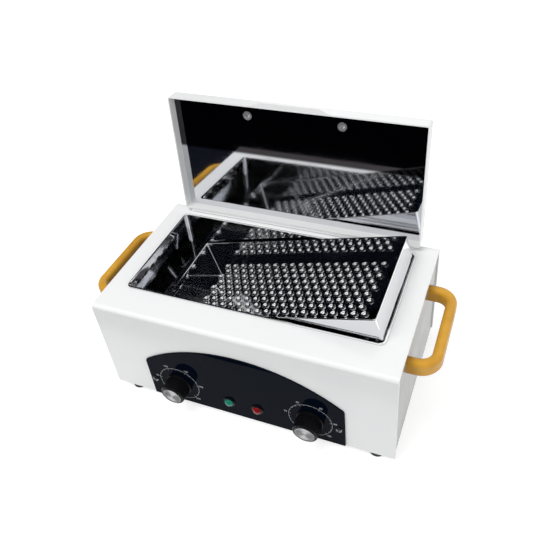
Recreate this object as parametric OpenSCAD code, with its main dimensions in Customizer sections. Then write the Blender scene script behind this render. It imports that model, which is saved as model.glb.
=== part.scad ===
// Bench-top dry heat sterilizer: a sheet steel case, a polished chamber sunk in its top,
// a hinged lid and a perforated instrument tray that stands propped inside the chamber.
// The case is drawn with x across, y from its front face to the back and z up from its base,
// then everything is shifted so that the origin is centred under the whole object.

/* [Case] */
// Distance from the chamber's ends to the case's ends
end_margin = 22; // [20:0.5:32]
// Depth of the case from its front face to its back face
case_d = 174; // [173:1:190]
// Height of the case above its base plate
case_h = 113; // [108:1:125]
// Thickness of the bent sheet steel of the case
sheet = 1.2; // [1:0.1:1.5]
// Outer radius of the bends along the top edges
bend_r = 4; // [3:0.5:6]
// Width of the edge turned in at each end of the wrap
end_flange = 3; // [2:0.5:4]
// Thickness of the side panels
side_t = 1.5; // [1:0.1:2]
// Height of the edges turned up on the base plate
base_lip = 12; // [10:1:14]

/* [Control panel] */
// Width of the control panel
panel_w = 206; // [200:1:220]
// Height of the straight sides of the panel
panel_side_h = 52; // [50:1:58]
// Height of the crown of the panel's arched top
panel_crown_h = 87; // [80:1:95]
// Thickness of the panel
panel_t = 1.5; // [1:0.1:2]
// Radius of the panel's shoulders
shoulder_r = 5; // [3:0.5:8]
// Distance of each control shaft from the centre line
dial_x = 69.5; // [66:0.5:73]
// Height of the control shafts above the base
dial_z = 27; // [26:0.5:28]
// Distance of each panel screw from the centre line
panel_screw_x = 97.5; // [95:0.5:98]
// Height of the panel screws above the base
panel_screw_z = 24.5; // [20:0.5:30]
// Distance between the two lamps
lamp_pitch = 30; // [26:1:34]
// Height of the lamps above the base
lamp_z = 20; // [18:1:26]
// Radius of a lamp lens
lamp_r = 5; // [4:0.1:5.4]
// How far a lamp lens stands out of the panel
lamp_out = 4.5; // [4:0.5:6]

/* [Knobs] */
// Largest radius of a knob
knob_r = 13.5; // [12:0.5:15]
// Length of a knob's black body
knob_l = 15.3; // [13:0.1:17]
// Radius of the spun metal cap on a knob
knob_cap_r = 9.9; // [9:0.1:11]
// Thickness that the cap adds in front of the knob
knob_cap_t = 1.2; // [1:0.1:1.6]
// Number of grooves round a knob
knob_flutes = 30; // [20:2:36]
// Gap between a knob and the panel
knob_gap = 0.5; // [0.4:0.1:1]
// Radius of a control shaft
shaft_r = 3; // [2.5:0.1:3.2]
// Radial clearance of a shaft in its bearing
shaft_clear = 0.05; // [0.03:0.01:0.1]

/* [Chamber] */
// Inside length of the chamber
chamber_l = 256; // [240:1:280]
// Depth of the chamber from the case top to its floor
chamber_depth = 59; // [57:1:60]
// Thickness of the chamber's polished sheet
chamber_t = 0.8; // [0.6:0.1:1]
// Inside radius of the chamber's upright corners
chamber_r = 4; // [3:0.5:6]
// Distance of the chamber's front wall from the case front
chamber_front = 34; // [33:0.5:38]
// Distance of the chamber's back wall from the case's back face
chamber_back = 20; // [19.5:0.5:24]
// Width of the rim that rests on the case top
rim_w = 2.2; // [2:0.1:2.6]
// Thickness of the folded rim
rim_t = 1.2; // [1:0.1:1.4]
// Number of vent slots in each end wall
vent_count = 8; // [4:1:8]
// Distance between neighbouring vent slots
vent_pitch = 12.5; // [11:0.5:13]
// Distance of the vent slots below the case top
vent_drop = 8; // [7:0.5:10]

/* [Lid] */
// Distance of the lid's front wall in front of the chamber's rim
lid_front_gap = 0.4; // [0.3:0.1:1]
// Height of the lid's outer shell
lid_h = 15; // [14:0.5:18]
// Thickness of the lid's outer shell
lid_t = 0.6; // [0.5:0.1:0.8]
// Thickness of the doubled edge round the lid's rim
hem_t = 1.3; // [1.1:0.1:1.6]
// Thickness of the lid's polished liner
liner_t = 0.5; // [0.4:0.1:0.6]
// Depth of the liner's recess above the lid's rim
recess = 10; // [9:0.5:11]
// Plan radius of the lid's corners
lid_r = 2.5; // [2:0.5:5]
// Radius of the lid's top edges
lid_edge_r = 1.2; // [1:0.1:2]
// Angle by which the lid stands open
lid_open = 93.8; // [90:0.1:96]
// Half width of the finger lip at the lid's front edge
lip_half = 42; // [30:1:60]
// How far the finger lip stands out
lip_out = 4.5; // [3:0.5:6]
// Length of the curved shoulders of the finger lip
lip_shoulder = 14; // [8:1:20]
// Height of the lid's rim above the case top when it is shut
rim_seat_gap = 0.2; // [0.2:0.1:0.4]

/* [Hinge] */
// Distance of the hinge axis in front of the case's back face
hinge_inset = 10; // [9.5:0.1:10.2]
// Height of the hinge axis above the case top
hinge_z = 2.2; // [2.2:0.1:2.4]
// Outer radius of the hinge knuckles
knuckle_r = 1.9; // [1.7:0.1:1.9]
// Radius of the hinge pin
hinge_pin_r = 0.9; // [0.8:0.05:1]
// Radial clearance of the hinge pin in the knuckles
hinge_clear = 0.05; // [0.03:0.01:0.1]
// Number of knuckles along the hinge
knuckles = 9; // [5:2:13]
// Distance of the hinge's ends from the chamber's ends
hinge_end = 3; // [1:1:15]
// Thickness of the hinge leaves
leaf_t = 0.6; // [0.5:0.1:0.8]

/* [Tray] */
// Length that the chamber has beyond the lowered tray
tray_end_room = 20; // [18:1:22]
// Width that the chamber has beyond the tray
tray_side_room = 4; // [3:1:8]
// Height of the tray's walls
tray_h = 25; // [20:1:28]
// Thickness of the tray's sheet
tray_t = 0.8; // [0.6:0.1:1]
// Radius of the tray's upright corners
tray_r = 2.5; // [2:0.5:4]
// Radius of a drain hole in the tray's floor
drain_r = 2.5; // [2:0.1:3]
// Distance between neighbouring drain holes
drain_pitch = 10.3; // [9:0.1:12]
// Height of the lowered tray above the chamber floor
tray_lift = 0.9; // [0.8:0.1:1.2]
// Gap between the propped tray and the chamber's rim
prop_gap = 0.7; // [0.6:0.1:0.9]

/* [Handles] */
// Distance of the handles' middle behind the case front
handle_y = 83; // [80:0.5:90]
// Height of the handles' middle above the base
handle_z = 92; // [88:0.5:96]
// Length of a handle from front to back
handle_span = 103; // [90:1:115]
// How far a handle stands out of its side panel
handle_out = 29; // [25:0.5:34]
// Thickness of the handle's bar
bar_t = 10; // [9.5:0.5:12]
// Height of the handle's bar
bar_h = 17; // [14:0.5:20]
// Radius of the bar's edges
bar_edge_r = 4.5; // [2:0.5:4.5]
// Outer radius of the handle's corners
handle_r = 20; // [16:0.5:22]

/* [Feet] */
// Height of a foot
foot_h = 9; // [7:0.5:12]
// Radius of a foot at the base plate
foot_r = 8.2; // [7:0.1:9]
// Distance of the feet from the case's ends
foot_x = 19; // [16:1:26]
// Distance of the feet from the case's front and back
foot_y = 10; // [10:0.5:14]

/* [Mains inlet] */
// Distance of the inlet's middle from the case's right end
inlet_in = 55; // [45:1:65]
// Height of the inlet above the base
inlet_z = 27; // [25:0.5:29]
// Width of the inlet's socket
socket_w = 24; // [22:0.5:25]
// Height of the inlet's socket
socket_h = 16.5; // [15:0.5:17]
// Depth of the inlet's socket
socket_depth = 17; // [15:0.5:18]

/* [Hidden] */
$fn = 48;
eps = 0.01;

// Fits that several pieces share
seat_gap = 0.2;
slip = 0.15;
rim_slip = 0.4;

// Places that follow from the sizes above
case_w = chamber_l + 2 * end_margin;
chamber_b = case_d - chamber_front - chamber_back;
hinge_y = case_d - hinge_inset;
hinge_l = chamber_l - 2 * hinge_end;
tray_l = chamber_l - tray_end_room;
tray_b = chamber_b - tray_side_room;
inlet_x = case_w / 2 - inlet_in;
lid_reach = hinge_y - chamber_front + rim_w + lid_front_gap + hem_t;
tub_l = chamber_l + 2 * chamber_t;
tub_b = chamber_b + 2 * chamber_t;
tub_r = chamber_r + chamber_t;
chamber_y = chamber_front + chamber_b / 2;
floor_z = case_h - chamber_depth;
rim_z = case_h + rim_t;
side_face = case_w / 2 - sheet;
inner_face = side_face - side_t;
back_y = case_d;

// Fibre blanket, heater and the parts under the chamber
heater_t = 1.5;
heater_inset = 18;
blanket_t = 9;
blanket_below = 6;
heater_z = floor_z - chamber_t - heater_t;
blanket_z = heater_z - blanket_below;
blanket_top = case_h - vent_drop - 6;

// Lid, closed, measured from the hinge axis
lid_half = chamber_l / 2 + rim_w + rim_slip + hem_t;
lid_back = knuckle_r + 0.4;
lid_rim = rim_seat_gap - hinge_z;
lid_mid = -(lid_reach + lid_back) / 2;
lid_len = lid_reach - lid_back;
lid_top = lid_rim + lid_h;
liner_z = lid_rim + recess;
pivot_z = case_h + hinge_z;
liner_screw_x = 49;
liner_screw_reach = lid_reach - 15;

// The tray lies flat at first and is then turned about a pole, so that its right
// end clears the rim and its left end slides in over the chamber floor
tray_z = floor_z + tray_lift;
tray_tilt = asin((rim_z + prop_gap - tray_z) / tray_l);
tray_left = chamber_l / 2 - prop_gap - tray_l * cos(tray_tilt);
tray_slide = tray_left + tray_l / 2;
pole_x = (tray_left - tray_l / 2) / 2;
pole_z = tray_z + tray_slide / 2 / tan(tray_tilt / 2);

// Knobs and controls
knob_front = panel_t + knob_gap + knob_l + knob_cap_t;
knob_base = panel_t + knob_gap;
control_w = 40;
control_h = 2 * (dial_z - base_lip - 1);
control_depth = 28;
bush_r = 5;
panel_hole_r = shaft_r + 0.6;

// The origin is centred under the object, at the underside of the feet
lid_y_far = (lid_reach - lid_edge_r) * -cos(lid_open) + (lid_top - lid_edge_r) * sin(lid_open) + lid_edge_r;
frame_y = (hinge_y + lid_y_far - knob_front) / 2;

module placed() {
    translate([0, -frame_y, foot_h]) children();
}

// A flat outline with round corners, centred on the origin
module round_rect(w, h, r) {
    square([w, h - 2 * r], center=true);
    square([w - 2 * r, h], center=true);
    for (sx = [-1, 1], sy = [-1, 1])
        translate([sx * (w / 2 - r), sy * (h / 2 - r)]) circle(r);
}

// An outline with its lower left corner on the origin and round upper corners
module round_top(w, h, r) {
    square([w, h - r]);
    translate([r, 0]) square([w - 2 * r, h]);
    for (x = [r, w - r])
        translate([x, h - r]) circle(r);
}

// A slot with round ends, centred, its length along x
module slot(l, w) {
    square([l - w, w], center=true);
    for (s = [-1, 1])
        translate([s * (l - w) / 2, 0]) circle(w / 2, $fn=24);
}

// A front view outline drawn in x and z becomes a plate from y to y + t
module front_plate(y, t) {
    translate([0, y + t, 0]) rotate([90, 0, 0]) linear_extrude(t) children();
}

// A side view outline drawn in y and z becomes a bar centred on x
module across(w) {
    rotate([90, 0, 90]) linear_extrude(w, center=true) children();
}

// A cross-head screw, its domed head above z = 0 and its shank below
module screw(head_r, head_h, shank_r, shank_l) {
    difference() {
        rotate_extrude() polygon([
            [0, -0.2], [head_r, 0], [head_r, head_h * 0.35], [head_r * 0.86, head_h * 0.72],
            [head_r * 0.55, head_h], [0, head_h]
        ]);
        for (a = [0, 90])
            rotate([0, 0, a]) translate([-head_r * 0.55, -head_r * 0.11, head_h * 0.45])
                cube([head_r * 1.1, head_r * 0.22, head_h]);
        translate([0, 0, -2]) cylinder(r=head_r * 2, h=2);
    }
    translate([0, 0, -shank_l]) cylinder(r=shank_r, h=shank_l);
}

module case_outline() {
    round_top(case_d, case_h, bend_r);
}

// The wrap is one sheet bent over the front, the top and the back
module case_shell() {
    color("whitesmoke") placed() difference() {
        union() {
            across(case_w) difference() {
                case_outline();
                translate([sheet, -1]) round_top(case_d - 2 * sheet, case_h - sheet + 1, bend_r - sheet);
            }
            for (s = [-1, 1])
                translate([s * (case_w - sheet) / 2, 0, 0]) across(sheet) difference() {
                    case_outline();
                    translate([end_flange, -1])
                        round_top(case_d - 2 * end_flange, case_h - end_flange + 1, bend_r - sheet);
                }
        }
        translate([0, chamber_y, case_h - 2 * sheet])
            linear_extrude(3 * sheet) round_rect(tub_l + 2 * slip, tub_b + 2 * slip, tub_r + slip);
        front_plate(-1, sheet + 2) control_holes(bush_r + slip, lamp_r + slip);
        front_plate(-1, sheet + 2) panel_screw_holes();
        back_holes();
        leaf_screw_places() cylinder(r=rivet_r + 0.05, h=8, center=true);
    }
}

module panel_screw_holes() {
    for (s = [-1, 1])
        translate([s * panel_screw_x, panel_screw_z]) circle(panel_screw_r + 0.1, $fn=24);
}

module control_holes(shaft_hole_r, lamp_hole_r) {
    for (s = [-1, 1])
        translate([s * dial_x, dial_z]) circle(shaft_hole_r);
    for (s = [-1, 1])
        translate([s * lamp_pitch / 2, lamp_z]) circle(lamp_hole_r);
}

vent_slot_w = 3;
vent_slot_h = 26;
back_vents = 12;
back_vent_pitch = 8;
back_vent_x = -case_w / 2 + 58;
back_vent_z = 72;

// Vents, the inlet's window and the screw holes in the back face
module back_holes() {
    front_plate(back_y - sheet - 1, sheet + 2) {
        for (i = [0:back_vents - 1])
            translate([back_vent_x + i * back_vent_pitch, back_vent_z]) rotate(90)
                slot(vent_slot_h, vent_slot_w);
        translate([inlet_x, inlet_z]) square([socket_w + 2 * inlet_wall + slip, socket_h + 2 * inlet_wall + slip], center=true);
        inlet_screw_places() circle(inlet_screw_r + 0.1, $fn=24);
        case_screw_places() circle(case_screw_r + 0.1, $fn=24);
    }
}

case_screw_r = 1.5;
case_screw_z = 7;
module case_screw_places() {
    for (x = [-case_w / 2 + 22, -34, 34, case_w / 2 - 22])
        translate([x, case_screw_z]) children();
}

module case_screws() {
    color("silver") placed() translate([0, back_y, 0]) rotate([-90, 0, 0]) mirror([0, 1, 0])
        case_screw_places() screw(3, 1.8, case_screw_r, 6);
}

// The panels close the two ends behind the turned-in edges of the wrap
module side_panel(s) {
    difference() {
        translate([s * (side_face - side_t / 2), 0, 0]) across(side_t)
            translate([sheet + seat_gap, 0])
                round_top(case_d - 2 * (sheet + seat_gap), case_h - sheet - seat_gap, bend_r - sheet);
        handle_screw_places(s) cylinder(r=handle_screw_r + 0.1, h=60, center=true);
    }
}

module side_panel_left() {
    color("gainsboro") placed() side_panel(-1);
}

module side_panel_right() {
    color("gainsboro") placed() side_panel(1);
}

// The base closes the case from below and is vented under the controls
module base_plate() {
    base_w = 2 * (inner_face - seat_gap);
    y0 = sheet + seat_gap;
    depth = case_d - 2 * y0;
    color("whitesmoke") placed() difference() {
        union() {
            translate([-base_w / 2, y0, 0]) cube([base_w, depth, sheet]);
            for (y = [y0, case_d - y0 - sheet])
                translate([-base_w / 2, y, 0]) cube([base_w, sheet, base_lip]);
        }
        for (i = [-8:8], j = [-1, 1])
            translate([i * 12, case_d / 2 + j * 40, -1]) rotate(90)
                linear_extrude(sheet + 2) slot(44, 4);
        foot_places() cylinder(r=foot_screw_r + 0.1, h=10, center=true, $fn=24);
        front_plate(case_d - y0 - sheet - 1, sheet + 2) case_screw_places() circle(case_screw_r + 0.1, $fn=24);
    }
}

// The arched plate that carries the dials and the lamps
module control_panel() {
    half = panel_w / 2;
    rise = panel_crown_h - panel_side_h;
    arch_r = (half * half + rise * rise) / (2 * rise);
    arch_z = panel_crown_h - arch_r;
    inner = half - shoulder_r;
    shoulder_z = arch_z + sqrt(pow(arch_r - shoulder_r, 2) - inner * inner);
    tangent_x = inner * arch_r / (arch_r - shoulder_r);
    color([0.15, 0.19, 0.36]) placed() front_plate(-panel_t, panel_t) difference() {
        union() {
            intersection() {
                translate([0, arch_z]) circle(arch_r, $fn=180);
                translate([-tangent_x, 0.5]) square([2 * tangent_x, panel_crown_h]);
            }
            translate([-half, 0.5]) square([panel_w, shoulder_z - 0.5]);
            for (s = [-1, 1])
                translate([s * inner, shoulder_z]) circle(shoulder_r);
        }
        control_holes(panel_hole_r, lamp_r + slip);
        panel_screw_holes();
    }
}

module panel_screws() {
    color("silver") placed()
        for (s = [-1, 1])
            translate([s * panel_screw_x, -panel_t, panel_screw_z]) rotate([90, 0, 0]) screw(3.2, 1.8, panel_screw_r, panel_t + sheet + 5);
}

panel_screw_r = 1.5;

// Knobs, their caps and shafts are drawn on an axis that points to the front
module on_dial(s) {
    translate([s * dial_x, 0, dial_z]) rotate([90, 0, 0]) children();
}

module knob() {
    flute_r = 1.1;
    front = knob_base + knob_l;
    difference() {
        rotate_extrude($fn=96) polygon([
            [0, knob_base], [knob_r, knob_base], [knob_r, knob_base + 1.6], [knob_r - 0.6, knob_base + 2.4],
            [knob_r - 1.1, front - 1], [knob_r - 1.9, front], [0, front]
        ]);
        for (i = [0:knob_flutes - 1])
            rotate(i * 360 / knob_flutes) translate([knob_r - 0.4, 0, knob_base + 2.6])
                cylinder(r=flute_r, h=knob_l, $fn=16);
        translate([0, 0, knob_base - 1]) cylinder(r=shaft_r + shaft_clear, h=knob_l - 2);
        translate([0, 0, front - 0.8]) cylinder(r=knob_cap_r + shaft_clear, h=2);
    }
}

// The cap is a spun disc with a raised edge and a fine step
module knob_cap() {
    z0 = knob_base + knob_l - 0.8;
    top = z0 + 0.8 + knob_cap_t;
    rotate_extrude($fn=96) polygon([
        [0, z0], [knob_cap_r, z0], [knob_cap_r, top - 0.4], [knob_cap_r - 0.5, top],
        [knob_cap_r - 1.6, top], [knob_cap_r - 2, top - 0.4], [0, top - 0.4]
    ]);
}

// The shaft runs from inside its control through the panel into the knob
module control_shaft() {
    shaft_in = 16;
    translate([0, 0, -shaft_in]) cylinder(r=shaft_r, h=shaft_in + knob_base + knob_l - 4);
}

module knob_thermostat() {
    color([0.08, 0.08, 0.09]) placed() on_dial(-1) knob();
}

module knob_thermostat_cap() {
    color("silver") placed() on_dial(-1) knob_cap();
}

module thermostat_shaft() {
    color("gray") placed() on_dial(-1) control_shaft();
}

module knob_timer() {
    color([0.08, 0.08, 0.09]) placed() on_dial(1) knob();
}

module knob_timer_cap() {
    color("silver") placed() on_dial(1) knob_cap();
}

module timer_shaft() {
    color("gray") placed() on_dial(1) control_shaft();
}

// A switch body behind the case front, with a bush through the sheet and two tabs
module control_body() {
    difference() {
        union() {
            translate([0, 0, -sheet - control_depth]) linear_extrude(control_depth)
                round_rect(control_w, control_h, 4);
            translate([0, 0, -sheet - eps]) cylinder(r=bush_r, h=sheet + eps);
            for (x = [-10, 10])
                translate([x - 3, -0.4, -sheet - control_depth - 8]) cube([6, 0.8, 8 + eps]);
        }
        translate([0, 0, -16 - seat_gap]) cylinder(r=shaft_r + shaft_clear, h=30);
    }
}

module timer_body() {
    color("ivory") placed() on_dial(1) control_body();
}

module thermostat_body() {
    color("beige") placed() on_dial(-1) control_body();
}

bulb_r = 2.5;
bulb_l = 70;
bulb_x = -60;
bulb_y = chamber_y - 30;
capillary_r = 0.8;
capillary_z = 34;

// The sensing bulb lies under the heater and its capillary runs down to the thermostat
module thermostat_bulb() {
    bulb_z = heater_z - bulb_r - seat_gap;
    body_back = sheet + control_depth;
    color("peru") placed() {
        translate([bulb_x, bulb_y, bulb_z]) rotate([0, 90, 0]) cylinder(r=bulb_r, h=bulb_l);
        translate([-dial_x, bulb_y, bulb_z]) rotate([0, 90, 0]) cylinder(r=capillary_r, h=dial_x + bulb_x + 1, $fn=24);
        translate([-dial_x, bulb_y, bulb_z]) sphere(capillary_r, $fn=24);
        translate([-dial_x, bulb_y, capillary_z]) cylinder(r=capillary_r, h=bulb_z - capillary_z, $fn=24);
        translate([-dial_x, bulb_y, capillary_z]) sphere(capillary_r, $fn=24);
        translate([-dial_x, body_back, capillary_z]) rotate([-90, 0, 0])
            cylinder(r=capillary_r, h=bulb_y - body_back, $fn=24);
    }
}

// The polished tub hangs by its rim on the case top
module chamber() {
    color([0.8, 0.81, 0.82]) placed() difference() {
        union() {
            translate([0, chamber_y, floor_z - chamber_t]) linear_extrude(chamber_depth + chamber_t)
                round_rect(tub_l, tub_b, tub_r);
            translate([0, chamber_y, case_h]) linear_extrude(rim_t)
                round_rect(chamber_l + 2 * rim_w, chamber_b + 2 * rim_w, chamber_r + rim_w);
        }
        translate([0, chamber_y, floor_z]) linear_extrude(chamber_depth + 10)
            round_rect(chamber_l, chamber_b, chamber_r);
        for (i = [0:vent_count - 1])
            translate([0, chamber_y + (i - (vent_count - 1) / 2) * vent_pitch, case_h - vent_drop])
                across(chamber_l + 10) slot(6.5, 3.5);
    }
}

// Fibre blanket round and under the tub, with pockets for the heater, bulb and fuse
module chamber_insulation() {
    bulb_z = heater_z - bulb_r - seat_gap;
    color("linen") placed() difference() {
        translate([0, chamber_y, blanket_z]) linear_extrude(blanket_top - blanket_z)
            round_rect(tub_l + 2 * blanket_t, tub_b + 2 * blanket_t, tub_r + blanket_t);
        translate([0, chamber_y, floor_z - chamber_t]) linear_extrude(case_h)
            round_rect(tub_l, tub_b, tub_r);
        heater_block(heater_t + 1, seat_gap);
        translate([bulb_x - 12, bulb_y - bulb_r - seat_gap, blanket_z - 1])
            cube([bulb_l + 14, 2 * (bulb_r + seat_gap), blanket_below + 1 + heater_t]);
        translate([fuse_x - 9, fuse_y - fuse_r - seat_gap, blanket_z - 1])
            cube([fuse_l + 18, 2 * (fuse_r + seat_gap), blanket_below + 1 + heater_t]);
    }
}

module heater_block(t, grow) {
    translate([0, chamber_y, heater_z]) linear_extrude(t)
        round_rect(chamber_l - 2 * heater_inset + 2 * grow, chamber_b - 2 * heater_inset + 2 * grow, 3 + grow);
}

module heating_element() {
    color("darkkhaki") placed() {
        heater_block(heater_t, 0);
    }
}

fuse_r = 2.2;
fuse_l = 14;
fuse_x = 52;
fuse_y = chamber_y + 10;

// A thermal fuse with its two leads, held against the heater
module thermal_fuse() {
    fuse_z = heater_z - fuse_r - seat_gap;
    color("lightgray") placed() {
        translate([fuse_x, fuse_y, fuse_z]) rotate([0, 90, 0]) cylinder(r=fuse_r, h=fuse_l);
        translate([fuse_x - 7, fuse_y, fuse_z]) rotate([0, 90, 0]) cylinder(r=0.6, h=fuse_l + 14, $fn=24);
    }
}

// Lens, bezel and holder of the two lamps, drawn on an axis that points to the front
module on_lamp(s) {
    translate([s * lamp_pitch / 2, 0, lamp_z]) rotate([90, 0, 0]) children();
}

module lens() {
    dome_r = lamp_r - 0.4;
    translate([0, 0, panel_t]) rotate_extrude() intersection() {
        union() {
            square([dome_r, lamp_out - dome_r * 0.75]);
            translate([0, lamp_out - dome_r * 0.75]) difference() {
                scale([1, 0.75]) circle(dome_r);
                translate([0, -dome_r]) square([2 * dome_r, dome_r]);
            }
        }
        square([dome_r, lamp_out]);
    }
}

module lamp_green() {
    color("green") placed() on_lamp(-1) lens();
}

module lamp_red() {
    color("red") placed() on_lamp(1) lens();
}

module lamp_bezels() {
    color([0.1, 0.1, 0.12]) placed()
        for (s = [-1, 1])
            on_lamp(s) rotate_extrude() translate([0, panel_t]) polygon([
                [lamp_r - 0.3, 0], [lamp_r + 1.3, 0], [lamp_r + 1.3, 0.7], [lamp_r + 0.7, 1.5], [lamp_r - 0.3, 1.5]
            ]);
}

module lamp_bodies() {
    lamp_l = 22;
    tag_l = 6;
    tag_w = 2.8;
    tag_t = 0.8;
    color("dimgray") placed()
        for (s = [-1, 1])
            on_lamp(s) {
                translate([0, 0, -lamp_l]) cylinder(r=lamp_r, h=lamp_l + panel_t);
                for (x = [-lamp_r / 2, lamp_r / 2])
                    translate([x - tag_t / 2, -tag_w / 2, -lamp_l - tag_l]) cube([tag_t, tag_w, tag_l + eps]);
            }
}

// Two rows of clamps on a moulded block that is fixed to the base
module terminal_block() {
    ways = 3;
    way_w = 12;
    block_b = 18;
    block_h = 13;
    block_x = 40;
    block_y = chamber_y + 18;
    color("white") placed() translate([block_x, block_y, sheet]) difference() {
        cube([ways * way_w, block_b, block_h]);
        for (i = [0:ways - 1], y = [block_b / 4, block_b * 3 / 4])
            translate([way_w * (i + 0.5), y, block_h - 7]) cylinder(r=2.4, h=8, $fn=24);
    }
}

inlet_wall = 1.6;
inlet_flange_w = 50;
inlet_flange_t = 2.5;
inlet_screw_pitch = 40;
inlet_screw_r = 1.5;
module inlet_screw_places() {
    for (s = [-1, 1])
        translate([inlet_x + s * inlet_screw_pitch / 2, inlet_z]) children();
}

// A three-pin mains inlet, its flange on the outside of the back face
module power_inlet() {
    outer_w = socket_w + 2 * inlet_wall;
    outer_h = socket_h + 2 * inlet_wall;
    pin_l = 9;
    color([0.1, 0.1, 0.1]) placed() {
        difference() {
            union() {
                front_plate(back_y, inlet_flange_t) translate([inlet_x, inlet_z]) round_rect(inlet_flange_w, outer_h + 3, 4);
                front_plate(back_y - socket_depth, socket_depth + 1)
                    translate([inlet_x, inlet_z]) square([outer_w, outer_h], center=true);
            }
            front_plate(back_y + inlet_flange_t - socket_depth, socket_depth + 1)
                translate([inlet_x, inlet_z]) square([socket_w, socket_h], center=true);
            front_plate(back_y - 1, inlet_flange_t + 2) inlet_screw_places() circle(inlet_screw_r + 0.1, $fn=24);
        }
        for (p = [[-7, -2], [0, 2], [7, -2]])
            translate([inlet_x + p[0] - 1, back_y + inlet_flange_t - socket_depth - eps, inlet_z + p[1] - 2])
                cube([2, pin_l, 4]);
    }
}

module inlet_screws() {
    color("silver") placed() translate([0, back_y + inlet_flange_t, 0]) rotate([-90, 0, 0]) mirror([0, 1, 0])
        inlet_screw_places() screw(3, 1.6, inlet_screw_r, inlet_flange_t + sheet + 5);
}

module foot_places() {
    for (s = [-1, 1], y = [foot_y, case_d - foot_y])
        translate([s * (case_w / 2 - foot_x), y, 0]) children();
}

foot_screw_r = 1.8;
foot_recess_r = 3.6;
foot_recess_h = 4;

// Rubber feet with a recess for the screw that holds each one
module feet() {
    color([0.12, 0.12, 0.13]) placed() foot_places() rotate_extrude() polygon([
        [foot_recess_r, -foot_h], [foot_r - 1.2, -foot_h], [foot_r - 0.5, -foot_h + 0.7], [foot_r, 0],
        [foot_screw_r + 0.1, 0], [foot_screw_r + 0.1, foot_recess_h - foot_h], [foot_recess_r, foot_recess_h - foot_h]
    ]);
}

module foot_screws() {
    color("silver") placed() foot_places() translate([0, 0, foot_recess_h - foot_h]) mirror([0, 0, 1])
        screw(3.2, 2, foot_screw_r, foot_h - foot_recess_h + sheet + 4);
}

// The bar's section is the same along the arms, the corners and the grip
module bar_section() {
    round_rect(bar_t, bar_h, bar_edge_r);
}

// A handle for the right side, with its arms' ends on the plane x = 0
module handle() {
    arm_y = handle_span / 2 - bar_t / 2;
    corner_x = handle_out - handle_r;
    corner_y = handle_span / 2 - handle_r;
    difference() {
        union() {
            for (s = [-1, 1])
                translate([0, s * arm_y, 0]) rotate([90, 0, 90]) linear_extrude(corner_x) bar_section();
            translate([corner_x, corner_y, 0]) rotate_extrude(angle=90)
                translate([handle_r - bar_t / 2, 0]) bar_section();
            translate([corner_x, -corner_y, 0]) rotate([0, 0, -90]) rotate_extrude(angle=90)
                translate([handle_r - bar_t / 2, 0]) bar_section();
            translate([handle_out - bar_t / 2, corner_y, 0]) rotate([90, 0, 0])
                linear_extrude(2 * corner_y) bar_section();
        }
        for (s = [-1, 1])
            translate([-1, s * arm_y, 0]) rotate([0, 90, 0]) cylinder(r=handle_screw_r + 0.1, h=handle_screw_in + 1.5, $fn=24);
    }
}

module handle_right() {
    color([0.9, 0.55, 0.1]) placed() translate([side_face, handle_y, handle_z]) handle();
}

module handle_left() {
    color([0.9, 0.55, 0.1]) placed() mirror([1, 0, 0]) translate([side_face, handle_y, handle_z]) handle();
}

handle_screw_r = 1.9;
handle_screw_in = 8;

module handle_screw_places(s) {
    for (e = [-1, 1])
        translate([s * inner_face, handle_y + e * (handle_span - bar_t) / 2, handle_z]) rotate([0, -s * 90, 0]) children();
}

module handle_screws() {
    color("silver") placed()
        for (s = [-1, 1])
            handle_screw_places(s) screw(3.6, 2, handle_screw_r, side_t + handle_screw_in);
}

// Pieces of the lid are drawn shut, then swung open about the hinge axis
module on_lid() {
    placed() translate([0, hinge_y, pivot_z]) rotate([-lid_open, 0, 0]) children();
}

// A pressed pan's outside: a block with round corners and a rounded top edge
module pan_block(w, d, h, r, edge) {
    intersection() {
        linear_extrude(h) round_rect(w, d, r);
        translate([0, d / 2, 0]) rotate([90, 0, 0]) linear_extrude(d)
            translate([-w / 2, 0]) round_top(w, h, edge);
        translate([-w / 2, 0, 0]) rotate([90, 0, 90]) linear_extrude(w)
            translate([-d / 2, 0]) round_top(d, h, edge);
    }
}

module lip_outline() {
    steps = 10;
    rise = [for (i = [0:steps]) [lip_half - lip_shoulder * (1 - i / steps), lip_out * (1 + cos(180 * i / steps)) / 2]];
    polygon(concat([[0, -2], [0, lip_out]], rise, [[lip_half, -2]]));
}

// The outer pan's walls are doubled by a hem up to the liner, which leaves the lid's recess
module lid_shell() {
    pan_depth = lid_h - lid_t - recess;
    color("whitesmoke") on_lid() {
        difference() {
            translate([0, lid_mid, lid_rim]) pan_block(2 * lid_half, lid_len, lid_h, lid_r, lid_edge_r);
            translate([0, lid_mid, lid_rim - 1]) linear_extrude(recess + 1)
                round_rect(2 * (lid_half - hem_t), lid_len - 2 * hem_t, lid_r - hem_t);
            translate([0, lid_mid, liner_z])
                pan_block(2 * (lid_half - lid_t), lid_len - 2 * lid_t, pan_depth, lid_r - lid_t, lid_edge_r - lid_t);
        }
        translate([0, -lid_reach + lid_t, lid_rim]) difference() {
            for (s = [0, 1])
                mirror([s, 0, 0]) mirror([0, 1, 0]) linear_extrude(lid_t + 0.2) translate([0, lid_t]) lip_outline();
            translate([-lip_half - 1, 0, -1]) cube([2 * lip_half + 2, 10, 4]);
        }
    }
}

// The mirror liner is a flat sheet that lies on the hem
module lid_liner() {
    half = lid_half - lid_t - slip;
    len = lid_len - 2 * (lid_t + slip);
    color([0.82, 0.83, 0.84]) on_lid() difference() {
        translate([0, lid_mid, liner_z]) linear_extrude(liner_t) round_rect(2 * half, len, lid_r - lid_t - slip);
        liner_screw_places() cylinder(r=1.6, h=8, center=true, $fn=24);
    }
}

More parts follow.
